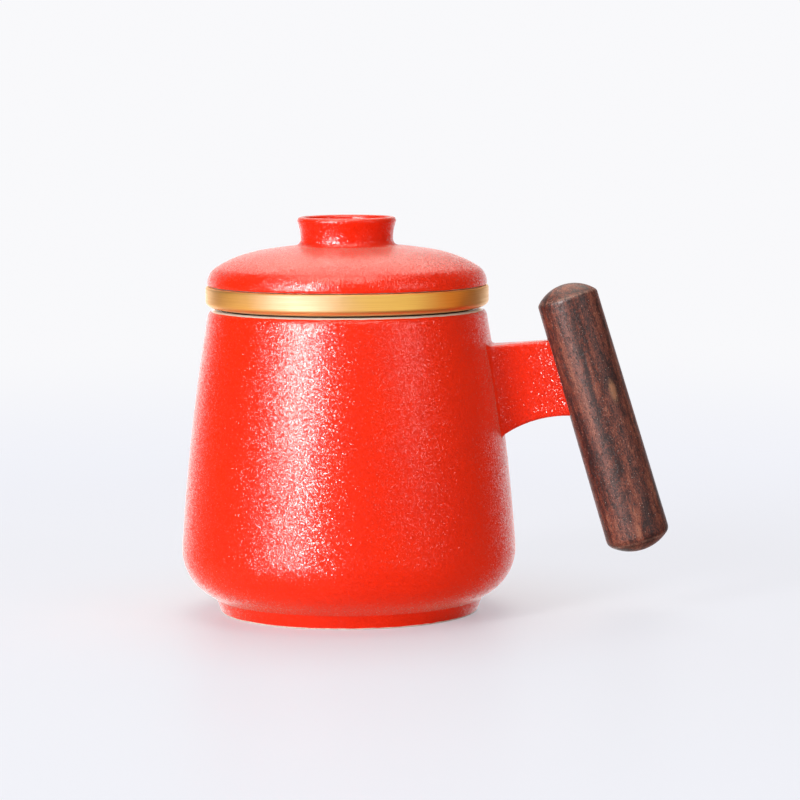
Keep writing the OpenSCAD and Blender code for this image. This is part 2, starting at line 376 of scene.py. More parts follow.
# %% Run along the outline
def run_lengths(outline):
    """How far along an outline each of its points lies, in millimetres."""
    lengths = [0.0]
    for a, b in zip(outline, outline[1:]):
        lengths.append(lengths[-1] + math.dist(a, b))
    return lengths


def run_at(outline, point):
    """How far along an outline its point nearest to the given one lies."""
    return min(zip(outline, run_lengths(outline)), key=lambda pair: math.dist(pair[0], point))[1]


def mark_run(piece, outline):
    """Stores on each vertex how far along the outline it lies, as the attribute run."""
    known = {(round(x, 2), round(z, 2)): d for (x, z), d in zip(outline, run_lengths(outline))}
    run = piece.data.attributes.new("run", "FLOAT", "POINT")
    for v in piece.data.vertices:
        key = (round(math.hypot(v.co.x, v.co.y) / MM, 2), round(v.co.z / MM, 2))
        if key not in known:
            known[key] = known[min(known, key=lambda k: math.dist(k, key))]
        run.data[v.index].value = known[key]


# %% [markdown]
# ## The mug's body
#
# The body is one thick shell of revolution. Its outline runs from the middle of the underside, over the foot
# ring, up the belly and the slightly bowed side, over the rounded lip, and down inside to the floor. All the
# corners that glaze would soften are arcs.

# %% Outline of the body
RIM_Z = 87.0
LIP_TOP = RIM_Z - 0.20  # a little below the seat, so that a thin dark gap shows
BELLY_R = 47.9  # where the mug is widest
BELLY_Z = 18.0
BELLY_ROUND = 14.3  # radius of the belly's curve
SIDE_BOW = 616.0  # radius of the side, which is nearly straight
SIDE_LEAN = 3.8  # degrees, where the side runs into the belly
UNDERSIDE = 32.8  # slope of the underside, in degrees
WALL = 4.0
LIP_ROUND = 2.4
LIP_INNER = 1.2
FOOT_R = 36.8
FOOT_TOP_R = 38.4
FOOT_IN_R = 33.4
FOOT_HOLLOW = 3.0
FLOOR_Z = BELLY_Z - BELLY_ROUND + WALL

belly = (BELLY_R - BELLY_ROUND, BELLY_Z)
side = polar(belly, BELLY_ROUND - SIDE_BOW, SIDE_LEAN)
lip_angle = math.degrees(math.asin((LIP_TOP - LIP_ROUND - side[1]) / (SIDE_BOW - LIP_ROUND)))
lip = polar(side, SIDE_BOW - LIP_ROUND, lip_angle)
inner_bow = SIDE_BOW - WALL
inner_angle = math.degrees(math.asin((LIP_TOP - LIP_INNER - side[1]) / (inner_bow + LIP_INNER)))
inner_lip = polar(side, inner_bow + LIP_INNER, inner_angle)
under = polar(belly, BELLY_ROUND, UNDERSIDE - 90)
foot_top = (FOOT_TOP_R, under[1] - (under[0] - FOOT_TOP_R) * math.tan(math.radians(UNDERSIDE)))

foot_line = rounded(
    [(0, FOOT_HOLLOW), (FOOT_IN_R - 1, FOOT_HOLLOW), (FOOT_IN_R, 0), (FOOT_R, 0), foot_top, under],
    radii=[1.2, 0.5, 0.45, 1.1],
)
body_line = join_up(
    foot_line,
    arc(*belly, BELLY_ROUND, UNDERSIDE - 90, SIDE_LEAN, 30),
    arc(*side, SIDE_BOW, SIDE_LEAN, lip_angle, 24),
    arc(*lip, LIP_ROUND, lip_angle, 90, 12),
    arc(*inner_lip, LIP_INNER, 90, 180 + inner_angle, 8),
    arc(*side, inner_bow, inner_angle, SIDE_LEAN, 20),
    arc(*belly, BELLY_ROUND - WALL, SIDE_LEAN, -90, 20),
    [(24, FLOOR_Z), (12, FLOOR_Z), (0, FLOOR_Z)],
)
print("points in the body's outline:", len(body_line))

# %% Turn the body
mug_shell = turn("mug_shell", body_line, segments=192)
mark_run(mug_shell, body_line)
finish(mug_shell)
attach(mug_shell, "mug")
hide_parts("mug_body")

# %% [markdown]
# ## The lid
#
# The lid is turned as well: a flat seat, a small lower corner, a full rounded edge, a shoulder that runs
# into the crown, and a hollow-sided knob with a dish in its top. Below, a collar keeps it centred in the
# infuser's mouth, and the inside follows the crown at an even thickness.

# %% Outline of the lid
SEAT_GAP = 0.1  # between two pieces that rest on each other
BAND_H = 6.3
FLANGE_Z = RIM_Z + SEAT_GAP
FLANGE_TOP = FLANGE_Z + BAND_H
LID_Z = FLANGE_TOP + SEAT_GAP
LID_R = 39.95
EDGE_ROUND = 5.6  # radius of the lid's full edge
EDGE_RISE = 0.5  # how far the widest place lies above the seat
CORNER = 0.7
SHOULDER = 34.0  # radius of the shoulder, which starts and ends at these angles
SHOULDER_FROM = 58.5
CROWN_FROM = 80.3
LID_T = 4.4
COLLAR_R = 30.2
COLLAR_T = 2.8
COLLAR_H = 6.0
NECK_R = 13.2  # where the knob is narrowest
NECK_FILLET = 2.0
KNOB_FLARE = 14.0  # radius of the knob's hollow side
KNOB_RIM = 1.1
KNOB_TOP = RIM_Z + 25.9
DISH_DEPTH = 4.6
DISH_ROUND = 3.0

edge = (LID_R - EDGE_ROUND, LID_Z + EDGE_RISE)
corner_angle = math.degrees(math.asin((CORNER - EDGE_RISE) / (EDGE_ROUND - CORNER)))
corner = polar(edge, EDGE_ROUND - CORNER, corner_angle)
shoulder = polar(edge, EDGE_ROUND - SHOULDER, SHOULDER_FROM)
crown = (0, shoulder[1] - shoulder[0] * math.tan(math.radians(CROWN_FROM)))
crown_r = SHOULDER + shoulder[0] / math.cos(math.radians(CROWN_FROM))
crown_to = math.degrees(math.acos((NECK_R + NECK_FILLET) / (crown_r + NECK_FILLET)))
fillet = polar(crown, crown_r + NECK_FILLET, crown_to)
flare = (NECK_R + KNOB_FLARE, fillet[1])
rim_angle = math.degrees(math.asin((KNOB_TOP - KNOB_RIM - flare[1]) / (KNOB_FLARE + KNOB_RIM)))
rim = polar(flare, KNOB_FLARE + KNOB_RIM, 180 - rim_angle)
dish = (rim[0] - KNOB_RIM - DISH_ROUND, KNOB_TOP - DISH_DEPTH + DISH_ROUND)
inside_r = crown_r - LID_T
inside_from = math.degrees(math.acos((COLLAR_R - COLLAR_T) / inside_r))

lid_line = join_up(
    arc(*crown, inside_r, 90, inside_from, 20),
    rounded(
        [polar(crown, inside_r, inside_from), (COLLAR_R - COLLAR_T, LID_Z - COLLAR_H),
         (COLLAR_R, LID_Z - COLLAR_H), (COLLAR_R, LID_Z), (corner[0], LID_Z)],
        radii=[0.9, 0.9, 0.5],
    ),
    arc(*corner, CORNER, -90, corner_angle, 6),
    arc(*edge, EDGE_ROUND, corner_angle, SHOULDER_FROM, 16),
    arc(*shoulder, SHOULDER, SHOULDER_FROM, CROWN_FROM, 12),
    arc(*crown, crown_r, CROWN_FROM, crown_to, 8),
    arc(*fillet, NECK_FILLET, 180 + crown_to, 180, 10),
    arc(*flare, KNOB_FLARE, 180, 180 - rim_angle, 12),
    arc(*rim, KNOB_RIM, -rim_angle, 180, 14),
    arc(*dish, DISH_ROUND, 0, -90, 8),
    [(4, KNOB_TOP - DISH_DEPTH), (0, KNOB_TOP - DISH_DEPTH)],
)
print("points in the lid's outline:", len(lid_line))

# %% Turn the lid
lid_shell = turn("lid_shell", lid_line, segments=192)
mark_run(lid_shell, lid_line)
finish(lid_shell)
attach(lid_shell, "lid")
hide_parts("lid")

# %% [markdown]
# ## The gold band
#
# The band is a thin metal cap round the flange. Its lower rounding is a quarter of a flat oval, and its upper
# one is small and round. The outline is a closed loop: its last point is joined to the first before the spin.

# %% Turn the band
def oval(cx, cz, wide, high, steps):
    """Points of the lower outer quarter of an oval, from its bottom to its side."""
    angles = [math.radians(90 * i / steps - 90) for i in range(steps + 1)]
    return [(cx + wide * math.cos(a), cz + high * math.sin(a)) for a in angles]


BAND_R = 40.4
BAND_T = 1.2
BAND_LOW = 3.0  # width of the lower rounding
BAND_CURVE = 2.0  # its height outside
BAND_UP = 0.15  # how far above the flange's underside it starts
BAND_TOP = 0.8  # radius of the upper rounding
FLANGE_R = BAND_R - BAND_T
band_low = (BAND_R - BAND_LOW, FLANGE_Z + BAND_LOW)
band_top = (BAND_R - BAND_TOP, FLANGE_TOP - BAND_TOP)
band_line = join_up(
    oval(band_low[0], FLANGE_Z + BAND_UP + BAND_CURVE, BAND_LOW, BAND_CURVE, 16),
    arc(*band_top, BAND_TOP, 0, 90, 10),
    [(FLANGE_R, FLANGE_TOP)],
    arc(*band_low, BAND_LOW - BAND_T, 0, -90, 10),
)
band = turn("brushed_band", band_line, segments=192, close=True)
finish(band, degrees=50)
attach(band, "infuser")
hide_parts("gold_band")

# %% [markdown]
# ## The infuser
#
# The infuser is a thin cup with a wide flange. It is turned as the mug is, so that its foot, its flange and
# its mouth get their roundings from the outline.

# %% Turn the infuser's cup
CUP_TOP_R = 34.4  # outside, just under the flange
CUP_LOW_R = 31.0  # outside, above the rounding of the foot
CUP_DEPTH = 60.0
CUP_T = 3.0
CUP_ROUND = 7.0
CUP_NECK = 0.8  # height of the short upright stretch under the flange
MOUTH_R = 31.0
MOUTH_ROUND = 1.0
CUP_Z = FLANGE_Z - CUP_DEPTH
cup_foot = (CUP_LOW_R - CUP_ROUND, CUP_Z + CUP_ROUND)
cup_lean = math.degrees(math.atan((CUP_TOP_R - CUP_LOW_R) / (CUP_DEPTH - CUP_ROUND)))


def straight(a, b, steps):
    """Points along a straight line, so that a turned wall has rings to hold its shape."""
    return [(a[0] + (b[0] - a[0]) * i / steps, a[1] + (b[1] - a[1]) * i / steps) for i in range(steps + 1)]


cup_line = join_up(
    straight((0, CUP_Z), (cup_foot[0], CUP_Z), 8),
    arc(*cup_foot, CUP_ROUND, -90, -cup_lean, 12),
    straight(polar(cup_foot, CUP_ROUND, -cup_lean), (CUP_TOP_R, FLANGE_Z - CUP_NECK), 20),
    rounded(
        [(CUP_TOP_R, FLANGE_Z - CUP_NECK), (CUP_TOP_R, FLANGE_Z),
         (band_low[0], FLANGE_Z), (band_low[0], FLANGE_Z + BAND_T)],
        radii=[0.5, 0.3],
    ),
    arc(*band_low, BAND_LOW - BAND_T, -90, 0, 8),
    [(FLANGE_R, FLANGE_TOP)],
    arc(MOUTH_R + MOUTH_ROUND, FLANGE_TOP - MOUTH_ROUND, MOUTH_ROUND, 90, 180, 8),
    [(CUP_TOP_R - CUP_T, FLANGE_Z)],
    straight((CUP_TOP_R - CUP_T, FLANGE_Z), polar(cup_foot, CUP_ROUND - CUP_T, -cup_lean), 20),
    arc(*cup_foot, CUP_ROUND - CUP_T, -cup_lean, -90, 10),
    straight((cup_foot[0], CUP_Z + CUP_T), (0, CUP_Z + CUP_T), 8),
)
infuser = turn("infuser_shell", cup_line, segments=168)
print("points in the infuser's outline:", len(cup_line))

# %% [markdown]
# ### Strainer holes
#
# The holes are cut with the Boolean modifier, all at once. The cutter is turned too: it is a pin that widens
# at both ends, so that it leaves the soft rims of glazed holes. One is modelled and copied to every place.

# %% The cutter
HOLE_D = 2.4
RIM_SOFT = 0.7  # radius of a hole's soft rim
OVERHANG = 1.0  # how far a cutter stands out of the wall

flared = arc(HOLE_D / 2 + RIM_SOFT, CUP_T / 2 - RIM_SOFT, RIM_SOFT, 180, 100, 4)
mirrored_end = [(x, -z) for x, z in reversed(flared)]
wide = flared[-1][0] + 0.3
top = CUP_T / 2 + OVERHANG
pin_line = [(0, -top), (wide, -top)] + mirrored_end + flared + [(wide, top), (0, top)]
cutter = turn("hole_cutter", pin_line, segments=20)
print("points in the cutter's outline:", len(pin_line))

# %% Place the cutters
HOLES_ROUND = 14
HOLE_ROWS = 4
HOLE_PITCH = 8.0  # from row to row, and from ring to ring
FLOOR_RINGS = 2


def place_cutter(matrix):
    """A copy of the cutter, with its own mesh, turned and moved to its place."""
    made = cutter.copy()
    made.data = cutter.data.copy()
    made.data.transform(matrix)
    bpy.context.scene.collection.objects.link(made)
    return made


cutters = []
sideways = Matrix.Rotation(math.radians(90) + math.radians(cup_lean), 4, "Y")
for row in range(HOLE_ROWS):
    z = CUP_Z + CUP_ROUND + HOLE_D + row * HOLE_PITCH
    wall_r = CUP_LOW_R + (z - cup_foot[1]) * math.tan(math.radians(cup_lean)) - CUP_T / 2
    out = Matrix.Translation((wall_r * MM, 0, z * MM))
    for i in range(HOLES_ROUND):
        around_axis = Matrix.Rotation((i + row / 2) * 2 * math.pi / HOLES_ROUND, 4, "Z")
        cutters.append(place_cutter(around_axis @ out @ sideways))
for ring in range(FLOOR_RINGS + 1):
    out = Matrix.Translation((ring * HOLE_PITCH * MM, 0, (CUP_Z + CUP_T / 2) * MM))
    holes = max(1, 6 * ring)
    for i in range(holes):
        around_axis = Matrix.Rotation(i * 2 * math.pi / holes, 4, "Z")
        cutters.append(place_cutter(around_axis @ out))
bpy.data.objects.remove(cutter)
print("strainer holes:", len(cutters))

# %% Cut the holes
def join(pieces):
    """Joins pieces into the first one."""
    deselect()
    for p in pieces:
        p.select_set(True)
    bpy.context.view_layer.objects.active = pieces[0]
    bpy.ops.object.join()
    return pieces[0]


def cut(piece, tool, operation="DIFFERENCE", keep_tool=False):
    """Cuts a piece with a tool, or keeps what they share."""
    pick(piece)
    bpy.ops.object.modifier_add(type="BOOLEAN")
    modifier = piece.modifiers[-1]
    modifier.operation = operation
    modifier.solver = "EXACT"
    modifier.object = tool
    bpy.ops.object.modifier_apply(modifier=modifier.name)
    if not keep_tool:
        bpy.data.objects.remove(tool)


cut(infuser, join(cutters))
finish(infuser, degrees=30)
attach(infuser, "infuser")
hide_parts("infuser_cup")

# %% [markdown]
# ## The lug
#
# The lug is a slab of clay, stuck to the mug's side with slip and flared towards it, so it follows the wall
# at one end and the grip at the other. It is lofted: a row of rounded rectangles is drawn from the wall to
# the end of the tenon, and Bridge joins them. Each takes a share of the curved wall and a share of the
# slanted end. The first few widen into the small fillet of slip at the root.

# %% Shape of the lug
LUG_TOP = 76.2  # height of the upper face at the mug's lip
LUG_RISE = 4.9  # degrees that it rises towards the grip
LUG_T = 5.8
LUG_UNDER_R = 33.0  # the underside is an arc with this radius
LUG_UNDER_Z = 56.5  # and with its highest point here
LUG_UNDER_X = 63.3
LUG_FLARE_R = 30.0  # the sides flare along an arc with this radius
LUG_FLARE_X = 56.0  # from here towards the mug
LUG_EDGE = 1.0  # radius of the long edges
LUG_LENGTH = 26.0  # roughly, from the wall to the tenon's end
LUG_MIDDLE = 65  # height of its middle
CORNER_STEPS = 5  # along a rounded corner, a thin side and a tall side
THIN_STEPS = 3
TALL_STEPS = 13
SETTLING = 25  # rounds in which a section and its place settle, as each depends on the other
GRIP_TILT = 16.5  # degrees that the grip leans towards the mug at its top
GRIP_X = 63.1  # the middle of the grip's upper edge
GRIP_Z = 89.3
TENON_SHORT = 0.6  # how far the tenon ends before the grip's centre line


def wall_x(y, z):
    """Distance of the mug's outer wall from the middle plane, at a sideways offset and a height."""
    r = side[0] + math.sqrt(SIDE_BOW ** 2 - (z - side[1]) ** 2)
    return math.sqrt(r * r - y * y)


def tenon_x(z, grow):
    """Where the tenon ends at a height, just short of the grip's centre line."""
    out = (math.cos(math.radians(GRIP_TILT)), math.sin(math.radians(GRIP_TILT)))
    end = (GRIP_X + (grow - TENON_SHORT) * out[0], GRIP_Z + (grow - TENON_SHORT) * out[1])
    return end[0] - (z - end[1]) * math.tan(math.radians(GRIP_TILT))


def lug_limits(x, grow):
    """Half the lug's thickness, its top and its underside at a distance from the mug's axis."""
    reach = LUG_FLARE_X - x
    half = LUG_T / 2 + grow
    if reach > 0:
        half = LUG_T / 2 + LUG_FLARE_R - math.sqrt((LUG_FLARE_R - grow) ** 2 - reach ** 2)
    rise = math.radians(LUG_RISE)
    top = LUG_TOP + grow / math.cos(rise) + (x - lip[0]) * math.tan(rise)
    under = LUG_UNDER_Z - LUG_UNDER_R + math.sqrt((LUG_UNDER_R - grow) ** 2 - (x - LUG_UNDER_X) ** 2)
    return half, top, under


def rectangle_plan():
    """A rounded rectangle as rows of (place across, place up, way across, way up), each from -1 to 1."""
    rows = []
    for quarter, (c, s) in enumerate(((1, 0), (0, 1), (-1, 0), (0, -1))):
        for k in range(CORNER_STEPS + 1):
            a = math.radians(90 * quarter + 90 * k / CORNER_STEPS)
            rows.append((c - s, c + s, math.cos(a), math.sin(a)))
        steps = TALL_STEPS if quarter % 2 else THIN_STEPS
        for k in range(1, steps):
            v = 1 - 2 * k / steps
            rows.append((v * c - s, v * s + c, -s, c))
    return rows


def lug_loop(share, slip, grow=0.0):
    """One rounded rectangle. share is 0 on the mug's wall and 1 at the tenon's end."""
    points = []
    corner = LUG_EDGE + grow
    for across, up, way_y, way_z in rectangle_plan():
        x = wall_x(0, LUG_MIDDLE) + share * LUG_LENGTH
        for _ in range(SETTLING):
            half, top, under = lug_limits(x, grow)
            half, top, under = half + slip, top + slip, under - slip
            y = across * (half - corner) + way_y * corner
            z = (top + under) / 2 + up * ((top - under) / 2 - corner) + way_z * corner
            wall, end = wall_x(y, z), tenon_x(z, grow)
            x = wall + share * (end - wall)
        points.append((x * MM, y * MM, z * MM))
    return points


print("points in a section of the lug:", len(rectangle_plan()))

# %% [markdown]
# ### Lofting the lug
#
# The sections stand close together near the wall, where the slip widens them quickly. The first two lie
# inside the mug's wall, so that no gap shows where the two meet.

# %% Loft the lug
def loft(name, loops):
    """Bridges a row of closed loops into a solid."""
    rows = [draw(f"{name}_{i}", loop, close=True) for i, loop in enumerate(loops)]
    piece = join(rows)
    piece.name = piece.data.name = name
    mode("EDIT", "SELECT")
    bpy.ops.mesh.bridge_edge_loops()
    bpy.ops.mesh.select_all(action="DESELECT")
    bpy.ops.mesh.select_non_manifold()
    bpy.ops.mesh.fill_holes(sides=0)
    bpy.ops.mesh.select_all(action="SELECT")
    bpy.ops.mesh.normals_make_consistent(inside=False)
    mode("OBJECT")
    return piece


SLIP = 0.9  # radius of the fillet of slip
SECTIONS = [  # distances from the wall, in millimetres
    -0.9, -0.3, 0.0, 0.08, 0.2, 0.38, 0.6, 0.9, 1.6, 2.6,
    4, 5.5, 7.5, 10, 12.5, 15, 17.5, 20, 23, 26,
]


def slip_width(d):
    """How much the fillet of slip widens the lug at a distance from the wall."""
    return SLIP - math.sqrt(SLIP ** 2 - (SLIP - min(max(d, 0), SLIP)) ** 2)


lug = loft("lug", [lug_loop(d / LUG_LENGTH, slip_width(d)) for d in SECTIONS])
finish(lug, degrees=40)
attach(lug, "mug")
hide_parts("handle_lug")

# %% [markdown]
# ## The wooden grip
#
# The grip was turned from one piece of dark wood: a slightly tapered rod with a dome on each end and a crease
# where the side meets the dome. It is turned upright, and then tilted into its place.

# %% Turn the grip
GRIP_LEN = 69.2  # of the side, between the two domed ends
TOP_R = 8.7
TOP_DOME = 4.6  # height of the upper dome
TOP_EDGE = 1.5  # radius of the edge below it
LOW_R = 9.1
LOW_DOME = 5.0
LOW_EDGE = 2.6


def domed_end(r, edge_round, dome, steps):
    """Half the outline of a domed end, from the side's edge at height 0 to the middle."""
    k = ((r - edge_round) ** 2 - (dome - edge_round) ** 2) / (2 * (dome - edge_round))
    meet = math.degrees(math.atan2(k, r - edge_round))
    return arc(r - edge_round, 0, edge_round, 0, meet, 6) + arc(0, -k, dome + k, meet, 90, steps)[1:]


def grip_outline():
    """The grip's outline, from the middle of its lower end to the middle of its upper end."""
    low = [(x, -GRIP_LEN - z) for x, z in domed_end(LOW_R, LOW_EDGE, LOW_DOME, 12)]
    top = domed_end(TOP_R, TOP_EDGE, TOP_DOME, 12)
    return join_up(low[::-1], straight(low[0], top[0], 24), top)


def stand_grip(piece):
    """Tilts a piece from the Z axis into the grip's place, and applies that to its mesh."""
    pick(piece)
    piece.rotation_euler = (0, -math.radians(GRIP_TILT), 0)
    piece.location = (GRIP_X * MM, 0, GRIP_Z * MM)
    bpy.ops.object.transform_apply(location=True, rotation=True, scale=True)
    return piece


grip = stand_grip(turn("turned_grip", grip_outline(), segments=96))
glue = stand_grip(turn("grip_glue", grip_outline(), segments=96))

# %% [markdown]
# ### Mortise and adhesive
#
# The mortise is the lug again, grown by the thickness of the adhesive. The bed of adhesive is what a second
# copy of the grip shares with the mortise, less the lug.

# %% Cut the mortise
GLUE = 0.3  # thickness of the adhesive
MORTISE_SHARES = (0.35, 0.5, 0.65, 0.8, 0.9, 1.0)


def mortise():
    """A solid like the outer part of the lug, but larger all round by the adhesive."""
    return loft("mortise", [lug_loop(share, 0, GLUE) for share in MORTISE_SHARES])


cut(grip, mortise())
cut(glue, mortise(), "INTERSECT")
cut(glue, lug, keep_tool=True)
for piece in (grip, glue):
    finish(piece, degrees=30)
    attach(piece, "mug")
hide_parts("wooden_grip")
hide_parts("grip_adhesive")

# %% [markdown]
# ## The sandy glaze
#
# The red glaze is full of fine grains, like frosted sand under a glassy skin. Each grain is a small facet
# that leans its own way and is a little domed, so it has its own mirror image of the lamps. That makes the
# surface glitter in the highlight and look velvety beside it. A Voronoi texture lays the grains out. Its
# Color is random for each grain and tells which way it leans, and its Position is the middle of its dome. How
# far a grain leans is random too, so the highlight ends in scattered sparks, not in a hard edge.

# %% Pattern helpers
def noise(tree, at, scale, detail=3.0, **more):
    """Soft random noise round 0.5, as an output. scale is its number of waves to a metre."""
    return add(tree, "TexNoise", {"Vector": at, "Scale": scale, "Detail": detail, **more}).outputs["Fac"]


def sway(tree, value, wave, amount):
    """Moves a value up and down with a noise."""
    return calc(tree, "MULTIPLY_ADD", calc(tree, "SUBTRACT", wave, 0.5), amount, value)


def weigh(tree, share, a, b):
    """Mixes two numbers: a where the share is 0, b where it is 1."""
    return calc(tree, "MULTIPLY_ADD", share, calc(tree, "SUBTRACT", b, a), a)


def vector(tree, operation, a, b=(0, 0, 0), scale=1.0):
    """One step of arithmetic on directions, as an output."""
    return add(tree, "VectorMath", {0: a, 1: b, 3: scale}, operation=operation).outputs[0]


# %% Grains
GRAINS = 3900.0  # grains to a metre
DOME_TILTS = (140.0, 1120.0)  # least and most tilt of a dome, for each metre from its middle
LEAN_TILTS = (0.126, 0.63)  # least and most leaning of a whole grain
REMIX = 61.0  # a random number times this has a second one behind its decimal point


def grain_tilt(tree, grains, spot, share):
    """The tilt that the grains give the surface, times a share."""
    odd = add(tree, "SeparateColor", {0: grains["Color"]}).outputs[0]
    steep = fit(tree, odd, 0.0, 1.0, *DOME_TILTS, smooth=False)
    dome = vector(tree, "SCALE", vector(tree, "SUBTRACT", spot, grains["Position"]), scale=steep)
    other = calc(tree, "FRACT", calc(tree, "MULTIPLY", odd, REMIX))
    far = fit(tree, other, 0.0, 1.0, *LEAN_TILTS, smooth=False)
    lean = vector(tree, "SCALE", vector(tree, "SUBTRACT", grains["Color"], (0.5, 0.5, 0.5)), scale=far)
    return vector(tree, "SCALE", vector(tree, "ADD", dome, lean), scale=share)


# %% [markdown]
# ### One glaze over another
#
# The same material carries the white glaze of the inside and the bare clay under the foot: the attribute run
# tells how far along the outline a point lies, and the borders waver a little, as a dipped glaze does. A pale
# sheen stands for the dust-fine roughness of the frosted skin.

# %% Glaze
RED = (0.84, 0.020, 0.0004)
RED_DEEP = (0.70, 0.011, 0.0003)
RED_ROUGH = (0.21, 0.24)
WHITE_GLAZE = (0.80, 0.79, 0.765)
WHITE_ROUGH = 0.12
CLAY = (0.70, 0.64, 0.54)
CLAY_ROUGH = 0.85
GLAZE_IOR = 1.33  # a thin frosted skin mirrors less than clear glass
BORDER = 0.12  # half the width of a border between two glazes, in millimetres
WAVER = 0.5  # how far a border wavers, in millimetres


def between(tree, value, low, high):
    """1 where a value lies between two limits, with soft borders."""
    above = fit(tree, value, low - BORDER, low + BORDER)
    return calc(tree, "MULTIPLY", above, fit(tree, value, high - BORDER, high + BORDER, 1.0, 0.0))


def glaze(name, red_from=None, red_to=1000.0, raw_from=None, raw_to=None):
    """Sandy red glaze. Where limits are given, the run beside them is white glaze or bare clay."""
    made, tree, shader, spot = new_material(name)
    cloud = noise(tree, spot, 55.0, 4.0)
    ripple = noise(tree, spot, 2200.0, 1.0)
    grains = add(tree, "TexVoronoi", {"Vector": spot, "Scale": GRAINS}).outputs
    odd = add(tree, "SeparateColor", {0: grains["Color"]}).outputs[1]
    deep = calc(tree, "MULTIPLY_ADD", odd, 0.25, fit(tree, cloud, 0.35, 0.7, 0.0, 0.2))
    colour = blend(tree, deep, RED, RED_DEEP)
    rough = fit(tree, cloud, 0.3, 0.7, *RED_ROUGH)
    is_red = 1.0
    if red_from is not None:
        run = add(tree, "Attribute", attribute_name="run").outputs["Fac"]
        run = sway(tree, run, noise(tree, spot, 260.0), WAVER)
        is_red = between(tree, run, red_from, red_to)
        colour = blend(tree, is_red, WHITE_GLAZE, colour)
        rough = weigh(tree, is_red, WHITE_ROUGH, rough)
    if raw_from is not None:
        is_raw = between(tree, run, raw_from, raw_to)
        tooth = noise(tree, spot, 1500.0, 4.0)
        clay = blend(tree, fit(tree, tooth, 0.4, 0.7), CLAY, tuple(0.8 * v for v in CLAY))
        colour = blend(tree, is_raw, colour, clay)
        rough = weigh(tree, is_raw, rough, CLAY_ROUGH)
    bump = add(tree, "Bump", {"Height": ripple, "Distance": 0.03 * MM}).outputs[0]
    tilted = vector(tree, "ADD", bump, grain_tilt(tree, grains, spot, is_red))
    feed(tree, shader, {
        "Base Color": colour,
        "Roughness": rough,
        "IOR": GLAZE_IOR,
        "Sheen Weight": 0.37,
        "Sheen Roughness": 0.32,
        "Sheen Tint": (1.0, 0.80, 0.62, 1),
        "Normal": vector(tree, "NORMALIZE", tilted),
    })
    return made


white_point = polar(lip, LIP_ROUND, 54)  # the red ends here, on the outside of the lip
mug_glaze = glaze(
    "sandy_glaze_mug",
    red_from=run_at(body_line, (FOOT_IN_R - 0.9, 2.6)),
    red_to=run_at(body_line, white_point),
    raw_from=run_at(body_line, (FOOT_IN_R, 0.3)),
    raw_to=run_at(body_line, (FOOT_R, 0)) + 0.35,
)
lid_glaze = glaze("sandy_glaze_lid", red_from=run_at(lid_line, polar(corner, CORNER, -60)))
dress(mug_shell, mug_glaze)
dress(lid_shell, lid_glaze)
dress(lug, glaze("sandy_glaze_lug"))

# %% [markdown]
# ## White glaze
#
# The infuser has the plain white glaze of the mug's inside, with soft ripples and a few small pits. Where its
# flange rests on the mug, a ring just under the flange is painted dark brown and made a little rougher. This
# is painted shade for the deep shadow in the narrow gap above the mug's lip.

# %% White glaze
WHITE_WARM = (0.77, 0.755, 0.72)
# painted shade: a dark brown ring for the shadow in the gap under the flange
CREVICE_SHADE_BROWN = (0.045, 0.030, 0.022)
CREVICE_SHADE_ROUGHER = 0.65
CREVICE_SHADE_INSIDE = (CUP_TOP_R - 1.2, CUP_TOP_R - 0.8)  # the ring's soft borders, in millimetres
CREVICE_SHADE_LOW = (FLANGE_Z - 1.6, FLANGE_Z - 1.2)
CREVICE_SHADE_HIGH = (FLANGE_Z + 0.05, FLANGE_Z + 0.3)

white, tree, shader, spot = new_material("white_glaze")
pool = noise(tree, spot, 60.0)
pits = add(tree, "TexVoronoi", {"Vector": spot, "Scale": 420.0}).outputs["Distance"]
pit = fit(tree, pits, 0.05, 0.12, -0.6, 0.0)
ripple = noise(tree, spot, 140.0, 2.0)
bump = add(tree, "Bump", {"Height": calc(tree, "ADD", ripple, pit), "Distance": 0.06 * MM})
height = add(tree, "SeparateXYZ", {0: spot}).outputs[2]
level = vector(tree, "MULTIPLY", spot, (1, 1, 0))
from_axis = add(tree, "VectorMath", {0: level}, operation="LENGTH").outputs["Value"]
outside = fit(tree, from_axis, *(v * MM for v in CREVICE_SHADE_INSIDE))
low_end = fit(tree, height, *(v * MM for v in CREVICE_SHADE_LOW))
high_end = fit(tree, height, *(v * MM for v in CREVICE_SHADE_HIGH), 1.0, 0.0)
# the ring of painted shade under the flange, where the gap lies in shadow
crevice_shade = calc(tree, "MULTIPLY", outside, calc(tree, "MULTIPLY", low_end, high_end))
feed(tree, shader, {
    "Base Color": blend(tree, crevice_shade, blend(tree, pool, WHITE_GLAZE, WHITE_WARM), CREVICE_SHADE_BROWN),
    "Roughness": calc(tree, "MULTIPLY_ADD", crevice_shade, CREVICE_SHADE_ROUGHER, fit(tree, pool, 0.3, 0.7, 0.10, 0.17)),
    "Normal": bump.outputs[0],
})
dress(infuser, white)

# %% [markdown]
# ## Gold
#
# The gold is satin metal with fine lines that run round it: noise that is squeezed along Z and stretched
# sideways looks like the marks of a brush.

# %% Gold
GOLD = (0.88, 0.52, 0.17)
GOLD_DEEP = (0.80, 0.45, 0.13)
BRUSH = (60.0, 60.0, 9000.0)  # waves to a metre along each axis

